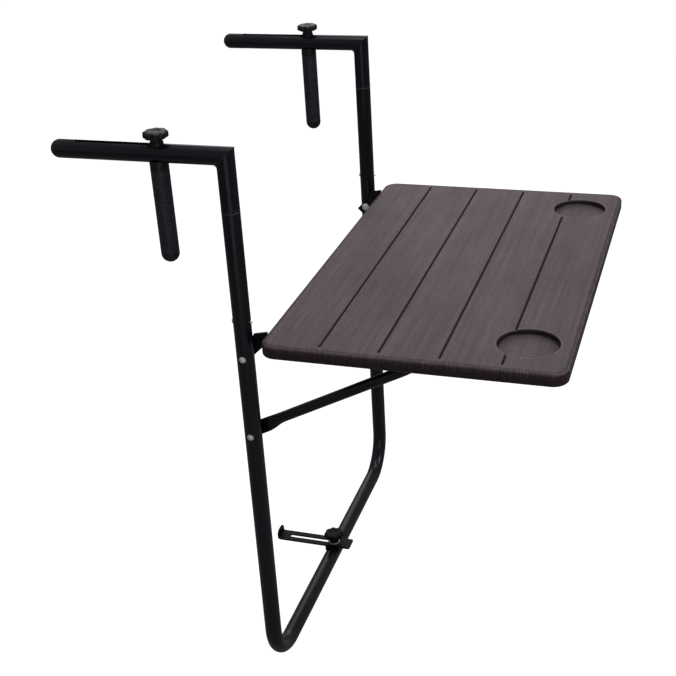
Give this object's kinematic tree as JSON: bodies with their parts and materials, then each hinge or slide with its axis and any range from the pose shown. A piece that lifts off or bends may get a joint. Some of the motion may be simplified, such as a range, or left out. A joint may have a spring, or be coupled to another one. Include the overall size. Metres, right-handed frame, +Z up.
{
  "type": "balcony railing bar table",
  "caption": "Folding bar table that hangs on a balcony railing by tube hooks with clamp posts; hinged plank-look tabletop with cup recesses, a tube brace and a lower rail hook.",
  "frame": {"origin": "railing seat: midway between the two hooks, at the back face of the legs, level with the underside of the hook arms", "axes": "+X to the right along the railing, +Y over the railing and away from the person at the table, +Z up"},
  "size_m": [0.6, 0.636, 0.8057],
  "materials": {
    "frame_black": "semi-gloss black powder coat on steel tube",
    "post_black": "satin black powder coat on steel tube",
    "bracket_black": "satin black paint on pressed steel",
    "plastic_black": "satin moulded black plastic",
    "knob_black": "satin moulded black plastic with a fine texture",
    "tabletop_brown": "moulded plastic with a fine embossed wood grain",
    "zinc": "bright zinc plate"
  },
  "bodies": {
    "frame": {"lower_frame": "frame_black", "hook_tube_left": "frame_black", "hook_tube_right": "frame_black", "arm_cap_left": "plastic_black", "arm_cap_right": "plastic_black", "joint_screws": "zinc", "pivot_rivets": "zinc", "pivot_washers": "plastic_black", "hook_saddle": "plastic_black", "hook_bolt": "zinc", "hook_washer": "zinc"},
    "tabletop": {"tabletop_panel": "tabletop_brown", "hinge_bracket_left": "bracket_black", "hinge_bracket_right": "bracket_black", "bracket_screws": "zinc", "brace_catch_left": "plastic_black", "brace_catch_right": "plastic_black", "catch_screws": "zinc"},
    "brace": {"brace_bail": "frame_black"},
    "clamp_post_left": {"post_tube_left": "post_black", "post_plug_left": "plastic_black", "clamp_nut_left": "zinc", "post_cap_left": "plastic_black", "saddle_washer_left": "plastic_black"},
    "clamp_post_right": {"post_tube_right": "post_black", "post_plug_right": "plastic_black", "clamp_nut_right": "zinc", "post_cap_right": "plastic_black", "saddle_washer_right": "plastic_black"},
    "knob_left": {"clamp_knob_left": "knob_black", "clamp_bolt_left": "zinc"},
    "knob_right": {"clamp_knob_right": "knob_black", "clamp_bolt_right": "zinc"},
    "rail_hook": {"rail_hook_strip": "bracket_black"},
    "rail_hook_knob": {"hook_knob": "knob_black", "hook_knob_insert": "zinc"}
  },
  "joints": [
    {"name": "tabletop_fold", "type": "hinge", "parent": "frame", "child": "tabletop", "pos_m": [0, -0.0115, -0.2525], "axis": [1, 0, 0], "range_deg": [0, 90]},
    {"name": "brace_swing", "type": "hinge", "parent": "frame", "child": "brace", "pos_m": [0, -0.0115, -0.3665], "axis": [1, 0, 0], "range_deg": [0, 117.6]},
    {"name": "clamp_slide_left", "type": "slide", "parent": "frame", "child": "clamp_post_left", "axis": [0, 1, 0], "range_m": [0, 0.104]},
    {"name": "clamp_slide_right", "type": "slide", "parent": "frame", "child": "clamp_post_right", "axis": [0, 1, 0], "range_m": [0, 0.104]},
    {"name": "clamp_turn_left", "type": "hinge", "parent": "clamp_post_left", "child": "knob_left", "pos_m": [-0.276, 0.075, 0.026], "axis": [0, 0, 1], "range_deg": [0, 540]},
    {"name": "clamp_turn_right", "type": "hinge", "parent": "clamp_post_right", "child": "knob_right", "pos_m": [0.276, 0.075, 0.026], "axis": [0, 0, 1], "range_deg": [0, 540]},
    {"name": "rail_hook_slide", "type": "slide", "parent": "frame", "child": "rail_hook", "axis": [0, 1, 0], "range_m": [-0.072, 0]},
    {"name": "rail_hook_turn", "type": "hinge", "parent": "frame", "child": "rail_hook_knob", "pos_m": [0, -0.0115, -0.735], "axis": [0, 0, 1], "range_deg": [0, 540]}
  ],
  "couplings": [
    {"joint": "brace_swing", "follows": "tabletop_fold", "ratio": 1.3063}
  ]
}
